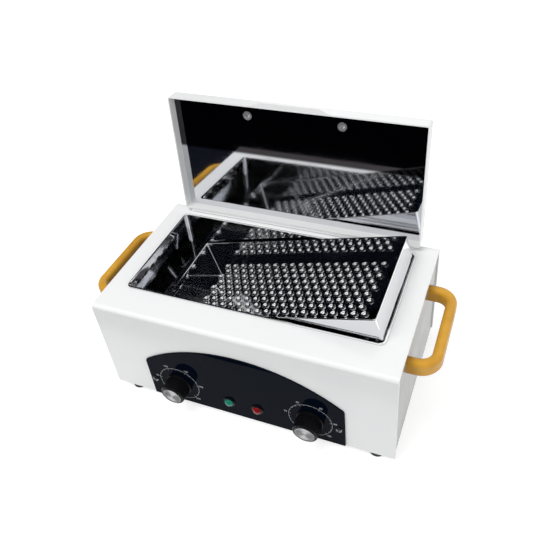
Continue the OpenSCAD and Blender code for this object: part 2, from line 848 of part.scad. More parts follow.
module lid_insulation() {
    half = lid_half - lid_t - 2;
    len = lid_len - 2 * (lid_t + 2);
    z0 = liner_z + liner_t;
    color("linen") on_lid() difference() {
        translate([0, lid_mid, z0]) linear_extrude(lid_top - lid_t - seat_gap - z0) round_rect(2 * half, len, 4);
        liner_screw_places() cylinder(r=1.6, h=30, center=true, $fn=24);
    }
}

module liner_screw_places() {
    for (s = [-1, 1])
        translate([s * liner_screw_x, -liner_screw_reach, liner_z]) children();
}

washer_r = 4.6;
washer_t = 0.6;
// Two screws with washers hold the liner
module liner_screws() {
    color("silver") on_lid() liner_screw_places() mirror([0, 0, 1]) {
        difference() {
            cylinder(r=washer_r, h=washer_t);
            translate([0, 0, -1]) cylinder(r=1, h=3);
        }
        translate([0, 0, washer_t]) screw(2.7, 1.4, 1.5, washer_t + lid_top - lid_t - seat_gap - liner_z - 0.5);
    }
}

rivet_r = 1.2;
rivet_reach = 4.2;
rivet_head_r = 1.7;
rivets = 6;
module leaf_screw_places() {
    for (i = [0:rivets - 1])
        translate([(i - (rivets - 1) / 2) * (hinge_l - 30) / (rivets - 1), hinge_y + rivet_reach, case_h]) children();
}

// One knuckle of the hinge; even ones belong to the case and odd ones to the lid
knuckle_gap = 0.3;
module knuckle_range(i, gap) {
    step = hinge_l / knuckles;
    translate([-hinge_l / 2 + i * step + gap / 2, 0, 0]) rotate([0, 90, 0]) linear_extrude(step - gap) children();
}

// The fixed leaf lies on the case top and curls up into its knuckles
module hinge_case_leaf() {
    leaf_w = 6.4;
    color("whitesmoke") placed() difference() {
        translate([0, hinge_y, pivot_z]) union() {
            translate([-hinge_l / 2, knuckle_r + 0.4, -hinge_z]) cube([hinge_l, leaf_w - knuckle_r - 0.4, leaf_t]);
            for (i = [0:2:knuckles - 1])
                knuckle_range(i, knuckle_gap) difference() {
                    union() {
                        circle(knuckle_r);
                        translate([0, 0]) square([hinge_z, knuckle_r]);
                        translate([hinge_z - leaf_t, 0]) square([leaf_t, knuckle_r + 1]);
                    }
                    circle(hinge_pin_r + hinge_clear);
                }
        }
        leaf_screw_places() cylinder(r=rivet_r + 0.05, h=8, center=true);
    }
}

// The moving leaf stands against the lid's back wall
module hinge_lid_leaf() {
    leaf_h = 9;
    color("whitesmoke") on_lid() {
        translate([-hinge_l / 2, -lid_back, knuckle_r + 0.4]) cube([hinge_l, leaf_t, leaf_h - knuckle_r - 0.4]);
        for (i = [1:2:knuckles - 1])
            knuckle_range(i, knuckle_gap) difference() {
                union() {
                    circle(knuckle_r);
                    translate([-knuckle_r - 1, -lid_back]) square([knuckle_r + 1, leaf_t]);
                    translate([-knuckle_r, -knuckle_r]) square([knuckle_r, leaf_t]);
                }
                circle(hinge_pin_r + hinge_clear);
            }
    }
}

module hinge_pin() {
    color("gray") placed() translate([-hinge_l / 2, hinge_y, pivot_z]) rotate([0, 90, 0])
        cylinder(r=hinge_pin_r, h=hinge_l);
}

// Flat-headed rivets fix the leaf to the case top
module hinge_rivets() {
    color("whitesmoke") placed() leaf_screw_places() {
        translate([0, 0, leaf_t]) rotate_extrude() polygon([
            [0, 0], [rivet_head_r, 0], [rivet_head_r * 0.88, 0.5], [rivet_head_r * 0.5, 0.8], [0, 0.8]
        ]);
        translate([0, 0, -sheet]) cylinder(r=rivet_r, h=sheet + leaf_t);
        translate([0, 0, -sheet - 0.8]) cylinder(r=rivet_head_r, h=0.8);
    }
}

// Pieces of the tray are drawn lying flat, then propped up
module on_tray() {
    placed() translate([pole_x, chamber_y, pole_z]) rotate([0, -tray_tilt, 0]) translate([-pole_x, 0, tray_z - pole_z])
        children();
}

// The floor has staggered drain holes inside plain margins
module tray_floor() {
    inner_l = tray_l - 2 * tray_t;
    inner_b = tray_b - 2 * tray_t;
    margin_x = 20;
    margin_y = 9;
    row_pitch = drain_pitch * sqrt(3) / 2;
    rows = floor((inner_b - 2 * margin_y) / row_pitch);
    columns = floor((inner_l - 2 * margin_x) / drain_pitch);
    color("silver") on_tray() linear_extrude(tray_t) difference() {
        round_rect(inner_l, inner_b, tray_r - tray_t);
        for (j = [0:rows])
            for (i = [0:columns - j % 2])
                translate([(i - columns / 2 + (j % 2) / 2) * drain_pitch, (j - rows / 2) * row_pitch])
                    circle(drain_r, $fn=16);
    }
}

// Four plain walls, each end with a tab folded in at its top
module tray_walls() {
    tab_in = 7;
    tab_start = 11.5;
    tab_end = 68.5;
    color("silver") on_tray() {
        linear_extrude(tray_h) difference() {
            round_rect(tray_l, tray_b, tray_r);
            round_rect(tray_l - 2 * tray_t, tray_b - 2 * tray_t, tray_r - tray_t);
        }
        for (a = [0, 180])
            rotate([0, 0, a]) translate([tray_l / 2, tray_b / 2, tray_h - tray_t]) linear_extrude(tray_t) difference() {
                polygon([
                    [-tray_t / 2, -tab_start], [-tab_in, -tab_start - 3.5], [-tab_in, -tab_end + 17.5],
                    [-tray_t / 2, -tab_end]
                ]);
                translate([-tab_in / 2, -(tab_start + tab_end) / 2 + 6]) circle(1.2, $fn=24);
            }
    }
}

case_shell();
side_panel_left();
side_panel_right();
base_plate();
case_screws();
control_panel();
panel_screws();
chamber();
chamber_insulation();
heating_element();
thermal_fuse();
thermostat_body();
thermostat_bulb();
thermostat_shaft();
knob_thermostat();
knob_thermostat_cap();
timer_body();
timer_shaft();
knob_timer();
knob_timer_cap();
lamp_green();
lamp_red();
lamp_bezels();
lamp_bodies();
terminal_block();
power_inlet();
inlet_screws();
feet();
foot_screws();
handle_left();
handle_right();
handle_screws();
lid_shell();
lid_liner();
lid_insulation();
liner_screws();
hinge_case_leaf();
hinge_lid_leaf();
hinge_pin();
hinge_rivets();
tray_floor();
tray_walls();
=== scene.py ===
# %% [markdown]
# A bench-top dry heat sterilizer, dressed for its portrait
#
# The object is a white enamelled steel box with a mirror-polished chamber sunk in its top. Its lid stands
# open, a perforated tray lies propped in the chamber, and an arched dark panel carries two dials and two
# lamps. The construction arrives as a finished frame of named parts, all at their real size. This lesson
# gives each part its finish, and models the few things that the frame leaves to it: printed dials, pressed
# dimples round the drain holes, spun knob caps and rolled sheet edges.

# %% Load the frame
import bpy
import bmesh
from math import cos, pi, radians, sin, sqrt
from mathutils import Euler, Matrix, Vector


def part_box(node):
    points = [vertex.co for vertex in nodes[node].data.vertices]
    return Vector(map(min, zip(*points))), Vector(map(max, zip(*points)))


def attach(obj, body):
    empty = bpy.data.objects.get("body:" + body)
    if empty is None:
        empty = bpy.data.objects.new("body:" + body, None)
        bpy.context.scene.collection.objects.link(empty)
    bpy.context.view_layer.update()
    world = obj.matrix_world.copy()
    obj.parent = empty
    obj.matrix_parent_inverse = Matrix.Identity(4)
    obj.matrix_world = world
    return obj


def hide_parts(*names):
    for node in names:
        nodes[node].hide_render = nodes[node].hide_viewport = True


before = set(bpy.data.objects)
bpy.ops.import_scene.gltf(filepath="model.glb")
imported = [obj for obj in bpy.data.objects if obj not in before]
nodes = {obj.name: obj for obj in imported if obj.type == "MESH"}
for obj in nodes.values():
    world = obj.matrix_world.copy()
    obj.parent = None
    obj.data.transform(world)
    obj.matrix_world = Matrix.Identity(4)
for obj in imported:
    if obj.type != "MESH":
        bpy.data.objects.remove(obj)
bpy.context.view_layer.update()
scene = bpy.context.scene
mm = 0.001

# %% [markdown]
# Everything on the case is measured from one point, the middle of the front face's lower edge. The frame
# says where that point is, so a single helper turns workshop millimetres into the shared frame. If the case
# moved, every printed ring and every bead would follow it.

# %% A helper that places things from the case's front
case_low, case_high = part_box("case_shell")
case_w, case_d, case_h = ((case_high - case_low) / mm)


def from_front(x, y, z):
    """A point given in millimetres from the middle of the case front's lower edge."""
    return Vector((x * mm, case_low.y + y * mm, case_low.z + z * mm))


print("case, mm:", round(case_w, 1), round(case_d, 1), round(case_h, 1))

# %% [markdown]
# The camera comes first, because every later choice is judged through it. The photograph was taken from
# the right, above and in front, close enough for strong perspective. A short list of edges measured on the
# picture fixes the eye point and the lens: 526 mm above the case's base, 41 mm focal length on a 36 mm
# sensor. The picture was cropped a little off the lens's axis, which the two shifts give back. Colours are
# shown as they are, with no film curve, so that white enamel stays white.

# %% Set up the camera
EYE = (212.15, -319.2, 525.7)
CAMERA_TURN = (50.649, 4.465, 21.194)
LENS, SENSOR = 41.13, 36
SHIFT = (-0.0236, -0.0586)
camera = bpy.data.objects.new("camera", bpy.data.cameras.new("camera"))
camera.data.lens = LENS
camera.data.sensor_width = SENSOR
camera.data.shift_x, camera.data.shift_y = SHIFT
camera.location = from_front(*EYE)
camera.rotation_euler = Euler([radians(a) for a in CAMERA_TURN], "XYZ")
scene.collection.objects.link(camera)
scene.camera = camera
scene.view_settings.view_transform = "Standard"
print("camera at", [round(c, 4) for c in camera.location])

# %% [markdown]
# A white background could be had from strong light, but that would burn out the white enamel. It's better to
# tell two things apart: what the camera, mirrors and glass look at, and what light reaches plain surfaces.
# Light Path knows which kind of ray asks, so one small mask serves the world and the floor alike.

# %% A mask for what is looked at
def seen_mask(tree):
    """1 for what the camera, mirrors and glass look at, 0 for the light that reaches plain surfaces."""
    path = tree.nodes.new("ShaderNodeLightPath")
    direct = tree.nodes.new("ShaderNodeMath")
    direct.operation = "ADD"
    total = tree.nodes.new("ShaderNodeMath")
    total.operation = "ADD"
    total.use_clamp = True
    tree.links.new(path.outputs["Is Camera Ray"], direct.inputs[0])
    tree.links.new(path.outputs["Is Glossy Ray"], direct.inputs[1])
    tree.links.new(direct.outputs[0], total.inputs[0])
    tree.links.new(path.outputs["Is Transmission Ray"], total.inputs[1])
    return total.outputs[0]


print("helper ready: seen_mask")

# %% [markdown]
# Light for white enamel has to be even, or the white breaks into greys. A bright world gives most of it. To
# the camera and to every mirror the same world is plain white.

# %% World
AMBIENT = 0.50
WHITE = (1, 1, 1, 1)


def make_world():
    world = bpy.data.worlds.new("studio")
    scene.world = world
    world.use_nodes = True
    tree = world.node_tree
    tree.nodes.clear()
    out = tree.nodes.new("ShaderNodeOutputWorld")
    seen = tree.nodes.new("ShaderNodeBackground")
    fill = tree.nodes.new("ShaderNodeBackground")
    for background in (seen, fill):
        background.inputs["Color"].default_value = WHITE
    fill.inputs["Strength"].default_value = AMBIENT
    mix = tree.nodes.new("ShaderNodeMixShader")
    tree.links.new(seen_mask(tree), mix.inputs["Fac"])
    tree.links.new(fill.outputs[0], mix.inputs[1])
    tree.links.new(seen.outputs[0], mix.inputs[2])
    tree.links.new(mix.outputs[0], out.inputs["Surface"])


make_world()
print("light from the world:", AMBIENT)

# %% [markdown]
# One large soft lamp high on the left adds direction, so that the top is the brightest face and the front a
# step darker. A weaker one on the right opens the shade inside the lid. Mirrors don't see the lamps, because
# two white squares in the steel would spoil its blacks.

# %% Lamps
def soft_lamp(name, place, aim, size, watts):
    """A square area lamp at place, turned to face aim."""
    lamp = bpy.data.lights.new(name, "AREA")
    lamp.size = size
    lamp.energy = watts
    holder = bpy.data.objects.new(name, lamp)
    holder.location = place
    holder.rotation_euler = (Vector(aim) - Vector(place)).to_track_quat("-Z", "Y").to_euler()
    holder.visible_glossy = False
    scene.collection.objects.link(holder)
    return holder


soft_lamp("key_lamp", (-0.35, -0.5, 1.4), (0, 0, 0.1), 0.9, 14.0)
soft_lamp("side_lamp", (1.6, -0.5, 0.7), (0, 0, 0.15), 0.6, 7.0)

# %% [markdown]
# The floor is a pale grey that keeps a soft shadow, and throws only a little light up at the case's front. To
# the camera and to mirrors it also glows, so that it reads as the photograph's clean white where no shadow
# falls. The glow is only in what they see: it puts no extra light on the object.

# %% Floor
FLOOR_GLOW = 0.62


def floor_material():
    mat = bpy.data.materials.new("floor_white")
    mat.use_nodes = True
    tree = mat.node_tree
    shader = tree.nodes["Principled BSDF"]
    shader.inputs["Base Color"].default_value = (0.68, 0.68, 0.68, 1)
    shader.inputs["Roughness"].default_value = 0.9
    shader.inputs["Specular IOR Level"].default_value = 0.1
    glow = tree.nodes.new("ShaderNodeEmission")
    strength = tree.nodes.new("ShaderNodeMath")
    strength.operation = "MULTIPLY"
    strength.inputs[1].default_value = FLOOR_GLOW
    tree.links.new(seen_mask(tree), strength.inputs[0])
    tree.links.new(strength.outputs[0], glow.inputs["Strength"])
    both = tree.nodes.new("ShaderNodeAddShader")
    tree.links.new(shader.outputs[0], both.inputs[0])
    tree.links.new(glow.outputs[0], both.inputs[1])
    tree.links.new(both.outputs[0], tree.nodes["Material Output"].inputs["Surface"])
    return mat


def flat_card(name, corners, mat):
    """A four-cornered sheet of studio equipment."""
    mesh = bpy.data.meshes.new(name)
    mesh.from_pydata([tuple(c) for c in corners], [], [(0, 1, 2, 3)])
    card = bpy.data.objects.new(name, mesh)
    card.data.materials.append(mat)
    scene.collection.objects.link(card)
    return card


FLOOR_HALF = 6.0
flat_card("floor", [(-FLOOR_HALF, -FLOOR_HALF, 0), (FLOOR_HALF, -FLOOR_HALF, 0),
                    (FLOOR_HALF, FLOOR_HALF, 0), (-FLOOR_HALF, FLOOR_HALF, 0)], floor_material())
print("floor, m across:", 2 * FLOOR_HALF, "glow:", FLOOR_GLOW)

# %% [markdown]
# Mirror-polished steel has no look of its own: it shows the room. A studio photographer who wants deep
# blacks in it puts black cards where the mirror looks, out of the picture. The lid's liner looks down at
# the bench in front of the case, so a card lies there. The tray looks past the lid to the left, so a
# curved wall of card runs from the front right round to the back left, lower on the right. Above it the white
# room shows again. Only reflections see the cards: they take no light from the enamel and cast no shadow.

# %% Black cards for the mirrors
WALL_R = 2.2
WALL_STEPS = 14
WALL_TOP, WALL_LOW_TOP = 3.2, 2.9
WALL_FIRST, WALL_LOW_LAST, WALL_LAST = radians(345), radians(262), radians(115)
BENCH_END, BENCH_BACK = 0.17, -0.15


def black_card_material():
    mat = bpy.data.materials.new("black_card")
    mat.use_nodes = True
    shader = mat.node_tree.nodes["Principled BSDF"]
    shader.inputs["Base Color"].default_value = (0.006, 0.007, 0.012, 1)
    shader.inputs["Roughness"].default_value = 0.9
    shader.inputs["Specular IOR Level"].default_value = 0.0
    return mat


def reflection_only(card):
    card.visible_camera = False
    card.visible_diffuse = False
    card.visible_shadow = False
    card.visible_transmission = False


def curved_wall(mat):
    """Upright cards that follow a circle round the object, one joined to the next."""
    cards = []
    for i in range(WALL_STEPS):
        a, b = (WALL_FIRST + (WALL_LAST - WALL_FIRST) * k / WALL_STEPS for k in (i, i + 1))
        top = WALL_LOW_TOP if b > WALL_LOW_LAST else WALL_TOP
        low, high = ([(WALL_R * cos(t), WALL_R * sin(t), z) for t in (a, b)] for z in (0.0, top))
        cards.append(flat_card(f"wall_card_{i}", [low[0], low[1], high[1], high[0]], mat))
    return cards


black_card = black_card_material()
bench_card = flat_card("bench_card", [(-WALL_R, -WALL_R, mm), (BENCH_END, -WALL_R, mm),
                                      (BENCH_END, BENCH_BACK, mm), (-WALL_R, BENCH_BACK, mm)], black_card)
cards = [bench_card] + curved_wall(black_card)
for card in cards:
    reflection_only(card)
print("black cards:", len(cards))

# %% [markdown]
# Some effects turn up in more than one finish, so each is a small node group that is built once, with named
# inputs and outputs. The first is mottle, a slow cloudy change of tone or gloss. No real surface is quite
# without it.

# %% Mottle, a shared effect
def new_group(name, inputs, outputs):
    group = bpy.data.node_groups.new(name, "ShaderNodeTree")
    for label, value in inputs:
        socket = group.interface.new_socket(label, in_out="INPUT", socket_type="NodeSocketFloat")
        socket.default_value = value
    for label in outputs:
        group.interface.new_socket(label, in_out="OUTPUT", socket_type="NodeSocketFloat")
    return group, group.nodes.new("NodeGroupInput"), group.nodes.new("NodeGroupOutput")


def mottle_group():
    """A slow cloudy change between Low and High."""
    group, given, result = new_group("mottle", [("Scale", 20), ("Low", 0), ("High", 1)], ["Value"])
    place = group.nodes.new("ShaderNodeTexCoord")
    noise = group.nodes.new("ShaderNodeTexNoise")
    noise.inputs["Detail"].default_value = 4
    spread = group.nodes.new("ShaderNodeMapRange")
    spread.inputs["From Min"].default_value = 0.3
    spread.inputs["From Max"].default_value = 0.7
    group.links.new(place.outputs["Object"], noise.inputs["Vector"])
    group.links.new(given.outputs["Scale"], noise.inputs["Scale"])
    group.links.new(noise.outputs["Fac"], spread.inputs["Value"])
    group.links.new(given.outputs["Low"], spread.inputs["To Min"])
    group.links.new(given.outputs["High"], spread.inputs["To Max"])
    group.links.new(spread.outputs["Result"], result.inputs["Value"])
    return group


mottle = mottle_group()
print("node group:", mottle.name)

# %% [markdown]
# Grain is the fine scratches that polishing leaves along a sheet. A noise that is squeezed across x draws out
# into lines along it, and its highest parts are picked out as the deepest scratches.

# %% Grain, a shared effect
def grain_group():
    """A mask of fine scratches drawn out along x."""
    group, given, result = new_group("grain", [("Scale", 60), ("Stretch", 30)], ["Mask"])
    place = group.nodes.new("ShaderNodeTexCoord")
    squeeze = group.nodes.new("ShaderNodeCombineXYZ")
    squeeze.inputs["X"].default_value = 1
    scale = group.nodes.new("ShaderNodeVectorMath")
    scale.operation = "MULTIPLY"
    noise = group.nodes.new("ShaderNodeTexNoise")
    noise.inputs["Detail"].default_value = 3
    deep = group.nodes.new("ShaderNodeMapRange")
    deep.inputs["From Min"].default_value = 0.58
    deep.inputs["From Max"].default_value = 0.75
    group.links.new(given.outputs["Stretch"], squeeze.inputs["Y"])
    group.links.new(given.outputs["Stretch"], squeeze.inputs["Z"])
    group.links.new(place.outputs["Object"], scale.inputs[0])
    group.links.new(squeeze.outputs["Vector"], scale.inputs[1])
    group.links.new(scale.outputs["Vector"], noise.inputs["Vector"])
    group.links.new(given.outputs["Scale"], noise.inputs["Scale"])
    group.links.new(noise.outputs["Fac"], deep.inputs["Value"])
    group.links.new(deep.outputs["Result"], result.inputs["Mask"])
    return group


grain = grain_group()
print("node group:", grain.name)

# %% [markdown]
# Ripple is the slight unevenness of pressed or enamelled sheet, which is what makes its reflections wander. It
# adds a fine noise to a slow one, and gives a height for a bump.

# %% Ripple, a shared effect
def ripple_group():
    """The soft unevenness of a sheet, as a height."""
    group, given, result = new_group("ripple", [("Scale", 14), ("Fine Scale", 700), ("Fine Share", 0.1)],
                                     ["Height"])
    place = group.nodes.new("ShaderNodeTexCoord")
    slow = group.nodes.new("ShaderNodeTexNoise")
    slow.inputs["Detail"].default_value = 1
    fine = group.nodes.new("ShaderNodeTexNoise")
    fine.inputs["Detail"].default_value = 2
    share = group.nodes.new("ShaderNodeMath")
    share.operation = "MULTIPLY"
    total = group.nodes.new("ShaderNodeMath")
    total.operation = "ADD"
    for noise, socket in ((slow, "Scale"), (fine, "Fine Scale")):
        group.links.new(place.outputs["Object"], noise.inputs["Vector"])
        group.links.new(given.outputs[socket], noise.inputs["Scale"])
    group.links.new(fine.outputs["Fac"], share.inputs[0])
    group.links.new(given.outputs["Fine Share"], share.inputs[1])
    group.links.new(slow.outputs["Fac"], total.inputs[0])
    group.links.new(share.outputs[0], total.inputs[1])
    group.links.new(total.outputs[0], result.inputs["Height"])
    return group


ripple = ripple_group()
print("node groups so far:", [g.name for g in bpy.data.node_groups])

# %% [markdown]
# Each finish is one short function. One helper starts its material and sets the plain numbers on the shader
# itself, and another places a shared effect in it, with values of its own.

# %% Helpers that start a finish
def start_finish(name, **settings):
    """A material with one Principled shader. Settings name its sockets, with _ for a space."""
    mat = bpy.data.materials.new(name)
    mat.use_nodes = True
    shader = mat.node_tree.nodes["Principled BSDF"]
    for key, value in settings.items():
        socket = shader.inputs[key.replace("_", " ")]
        socket.default_value = (*value, 1) if isinstance(value, tuple) and len(value) == 3 else value
    return mat, mat.node_tree, shader


def place_group(tree, group, **values):
    """Puts a shared effect in a material with its own values."""
    node = tree.nodes.new("ShaderNodeGroup")
    node.node_tree = group
    for key, value in values.items():
        node.inputs[key.replace("_", " ")].default_value = value
    return node


print("helpers ready: start_finish, place_group")

# %% [markdown]
# Three more helpers hang an effect on a socket where the surface really varies: on one value, on the colour,
# or on the normal, which follows a height.

# %% Helpers that vary a finish
def vary(tree, shader, socket, scale, low, high):
    """A slow change of one shader value over the surface."""
    node = place_group(tree, mottle, Scale=scale, Low=low, High=high)
    tree.links.new(node.outputs["Value"], shader.inputs[socket])


def vary_colour(tree, shader, scale, first, second):
    """A slow change between two colours."""
    node = place_group(tree, mottle, Scale=scale)
    mix = tree.nodes.new("ShaderNodeMix")
    mix.data_type = "RGBA"
    mix.inputs["A"].default_value = (*first, 1)
    mix.inputs["B"].default_value = (*second, 1)
    tree.links.new(node.outputs["Value"], mix.inputs["Factor"])
    tree.links.new(mix.outputs["Result"], shader.inputs["Base Color"])


def raise_bump(tree, shader, height, strength, distance):
    """Feeds a height to the shader's normal."""
    bump = tree.nodes.new("ShaderNodeBump")
    bump.inputs["Strength"].default_value = strength
    bump.inputs["Distance"].default_value = distance
    tree.links.new(height, bump.inputs["Height"])
    tree.links.new(bump.outputs["Normal"], shader.inputs["Normal"])


print("helpers ready: vary, vary_colour, raise_bump")

# %% [markdown]
# Baked enamel is paint with a glossy skin. Under the gloss the sheet isn't perfectly flat, and the paint has a
# faint orange peel, so the reflection of the room is soft at its edges. The side panels get a grey copy of the
# white enamel, which is painted shade for white ends that stand in shade.

# %% Enamel
def enamel(name, colour, shade):
    mat, tree, shader = start_finish(name, Coat_Weight=0.35, Coat_Roughness=0.12)
    vary_colour(tree, shader, 9, colour, shade)
    vary(tree, shader, "Roughness", 35, 0.3, 0.4)
    peel = place_group(tree, ripple, Scale=9, Fine_Scale=900, Fine_Share=0.12)
    raise_bump(tree, shader, peel.outputs["Height"], 0.12, 0.0006)
    return mat


white_enamel = enamel("white_enamel", (0.86, 0.865, 0.865), (0.83, 0.84, 0.845))
# The side panels' grey is painted shade: a darker copy of the white enamel for white ends in shade.
grey_enamel = enamel("grey_enamel", (0.295, 0.302, 0.292), (0.27, 0.277, 0.267))
print("enamels:", white_enamel.name, grey_enamel.name)

# %% [markdown]
# The chamber, the lid's liner and the tray are stainless sheet polished to a mirror. What tells steel from
# chrome plate is the trace of the polishing wheel: long faint scratches, and areas where use has dulled the
# mirror a little. The pressed sheet also waves, so straight edges bend in it.

# %% Polished steel
DULLED = 2.2
SCRATCH_ROUGHNESS = 0.10


def polished_steel(name, tone, rough, wave):
    """Rough is the gloss of the clean mirror, and wave the height of the sheet's waves."""
    mat, tree, shader = start_finish(name, Metallic=1.0, Base_Color=tone)
    scratches = place_group(tree, grain, Scale=55, Stretch=26)
    dull = place_group(tree, mottle, Scale=18, Low=rough, High=rough * DULLED)
    wear = tree.nodes.new("ShaderNodeMath")
    wear.operation = "MULTIPLY_ADD"
    wear.inputs[1].default_value = SCRATCH_ROUGHNESS
    tree.links.new(scratches.outputs["Mask"], wear.inputs[0])
    tree.links.new(dull.outputs["Value"], wear.inputs[2])
    tree.links.new(wear.outputs[0], shader.inputs["Roughness"])
    waves = place_group(tree, ripple, Scale=16, Fine_Scale=120, Fine_Share=0.0)
    raise_bump(tree, shader, waves.outputs["Height"], wave, 0.002)
    return mat


chamber_steel = polished_steel("chamber_steel", (0.80, 0.81, 0.83), 0.035, 0.16)
# The second liner tone is painted shade: a near-black tone that paints a dark reflection on the liner's upper
# half.
LINER_CLEAN, LINER_PAINTED_DARK = (0.78, 0.79, 0.82), (0.06, 0.055, 0.06)
liner_steel = polished_steel("liner_steel", LINER_CLEAN, 0.03, 0.03)
tray_steel = polished_steel("tray_steel", (0.80, 0.81, 0.83), 0.035, 0.08)
pressed_edge = polished_steel("pressed_edge", (0.96, 0.96, 0.97), 0.06, 0.02)
print("steels:", [m.name for m in (chamber_steel, liner_steel, tray_steel, pressed_edge)])

# %% [markdown]
# The liner's upper half is painted near black, a painted dark reflection: there the mirror holds a dark room
# and loses the white of the case. The mask runs up the sheet's own height, by the Generated coordinates, so it
# stays on the sheet when the lid is shut.

# %% Paint a dark reflection on the liner's upper half
def paint_dark_reflection_upwards(mat, clean, painted_dark, start, end):
    """Blends the tone from clean below the share start of the height to a painted dark reflection above the
    share end.
    """
    tree = mat.node_tree
    place = tree.nodes.new("ShaderNodeTexCoord")
    parts = tree.nodes.new("ShaderNodeSeparateXYZ")
    share = tree.nodes.new("ShaderNodeMapRange")
    share.interpolation_type = "SMOOTHSTEP"
    share.inputs["From Min"].default_value = start
    share.inputs["From Max"].default_value = end
    mix = tree.nodes.new("ShaderNodeMix")
    mix.data_type = "RGBA"
    mix.inputs["A"].default_value = (*clean, 1)
    mix.inputs["B"].default_value = (*painted_dark, 1)
    tree.links.new(place.outputs["Generated"], parts.inputs["Vector"])
    tree.links.new(parts.outputs["Z"], share.inputs["Value"])
    tree.links.new(share.outputs["Result"], mix.inputs["Factor"])
    tree.links.new(mix.outputs["Result"], tree.nodes["Principled BSDF"].inputs["Base Color"])


# Between these shares of its height the liner's tone turns to the painted dark reflection.
DARK_REFLECTION_START, DARK_REFLECTION_END = 0.545, 0.575
paint_dark_reflection_upwards(liner_steel, LINER_CLEAN, LINER_PAINTED_DARK, DARK_REFLECTION_START, DARK_REFLECTION_END)
print("the liner darkens between these shares of its height:", DARK_REFLECTION_START, DARK_REFLECTION_END)

# %% [markdown]
# Small hardware is zinc plated and turned: duller, with a fine grain. The shafts and hinge pin share it.
# The two screws of the control panel are blackened instead, so that only their edges glint.

# %% Plated and blackened steel
def plated_steel():
    mat, tree, shader = start_finish("plated_steel", Metallic=0.75)
    vary_colour(tree, shader, 60, (0.78, 0.78, 0.79), (0.66, 0.66, 0.68))
    vary(tree, shader, "Roughness", 90, 0.2, 0.36)
    return mat


plated = plated_steel()


def blackened_steel():
    mat, tree, shader = start_finish("blackened_steel", Metallic=0.9)
    vary_colour(tree, shader, 200, (0.20, 0.205, 0.22), (0.13, 0.135, 0.15))
    vary(tree, shader, "Roughness", 200, 0.08, 0.15)
    return mat


blackened = blackened_steel()
print("small steel:", plated.name, blackened.name)

# %% [markdown]
# The control panel is painted almost black with a blue cast, then lacquered. Seen from above, the lacquer
# mirrors the knobs behind themselves, and the pale bench lifts the paint to a deep navy.

# %% Panel lacquer
def panel_lacquer():
    mat, tree, shader = start_finish("panel_lacquer", Roughness=0.42, Coat_Weight=0.10, Coat_Roughness=0.03,
                                     Specular_IOR_Level=0.0)
    vary_colour(tree, shader, 25, (0.0010, 0.0028, 0.0075), (0.0016, 0.0038, 0.0095))
    peel = place_group(tree, ripple, Scale=20, Fine_Scale=800, Fine_Share=0.1)
    raise_bump(tree, shader, peel.outputs["Height"], 0.03, 0.0005)
    return mat


panel_paint = panel_lacquer()
print("panel:", panel_paint.name)

# %% [markdown]
# The knobs are a black moulding with a satin skin. Black plastic still mirrors a bright room, so its gloss is
# kept low here, or the knobs would read as grey.

# %% Knob plastic
def black_moulding():
    mat, tree, shader = start_finish("black_moulding", Base_Color=(0.004, 0.004, 0.005), Coat_Weight=0.04,
                                     Coat_Roughness=0.2, Specular_IOR_Level=0.12)
    vary(tree, shader, "Roughness", 120, 0.28, 0.42)
    return mat


black_plastic = black_moulding()
print("knobs:", black_plastic.name)

# %% [markdown]
# The handles are amber plastic. Light goes a little way into it, which warms its edges, and the resin's flow
# has left paler and darker streaks. A little subsurface does the first and the shared mottle the second.

# %% Handle plastic
def amber_moulding():
    mat, tree, shader = start_finish("amber_moulding", Subsurface_Weight=0.12, Subsurface_Scale=0.004,
                                     Coat_Weight=0.15, Coat_Roughness=0.2, Specular_IOR_Level=0.3)
    shader.inputs["Subsurface Radius"].default_value = (1.0, 0.5, 0.15)
    vary_colour(tree, shader, 38, (0.70, 0.375, 0.040), (0.53, 0.255, 0.022))
    vary(tree, shader, "Roughness", 70, 0.32, 0.46)
    flow = place_group(tree, ripple, Scale=60, Fine_Scale=500, Fine_Share=0.1)
    raise_bump(tree, shader, flow.outputs["Height"], 0.08, 0.0005)
    return mat


amber_plastic = amber_moulding()
print("handles:", amber_plastic.name)

# %% [markdown]
# The lamp lenses are tinted and unlit, so they are deep in colour under a glossy skin. The feet are plain
# rubber, which has no skin at all.

# %% Lamp lenses and rubber feet
def lens_plastic(name, colour, deep):
    mat, tree, shader = start_finish(name, Coat_Weight=0.12, Coat_Roughness=0.06, Specular_IOR_Level=0.2)
    vary_colour(tree, shader, 220, colour, deep)
    vary(tree, shader, "Roughness", 200, 0.12, 0.25)
    return mat


def foot_rubber():
    mat, tree, shader = start_finish("foot_rubber", Specular_IOR_Level=0.3)
    vary_colour(tree, shader, 80, (0.03, 0.03, 0.033), (0.045, 0.045, 0.047))
    vary(tree, shader, "Roughness", 150, 0.6, 0.8)
    return mat


green_lens = lens_plastic("green_lens", (0.010, 0.25, 0.155), (0.003, 0.12, 0.08))
red_lens = lens_plastic("red_lens", (0.33, 0.008, 0.012), (0.14, 0.002, 0.004))
rubber = foot_rubber()
print("lenses and feet:", [m.name for m in (green_lens, red_lens, rubber)])

# %% [markdown]
# Inside the case, where only the vents and the inlet show them, are a fibre blanket, a mica heater plate,
# moulded control bodies and a copper capillary. They are plain workshop materials, but each has its own.

# %% Inner parts
def plain_part(name, first, second, rough, metal=0.0, scale=60, bump=0.1):
    mat, tree, shader = start_finish(name, Metallic=metal)
    vary_colour(tree, shader, scale, first, second)
    vary(tree, shader, "Roughness", scale * 2, rough, min(1.0, rough * 1.3))
    texture = place_group(tree, ripple, Scale=scale, Fine_Scale=900, Fine_Share=0.5)
    raise_bump(tree, shader, texture.outputs["Height"], bump, 0.001)
    return mat


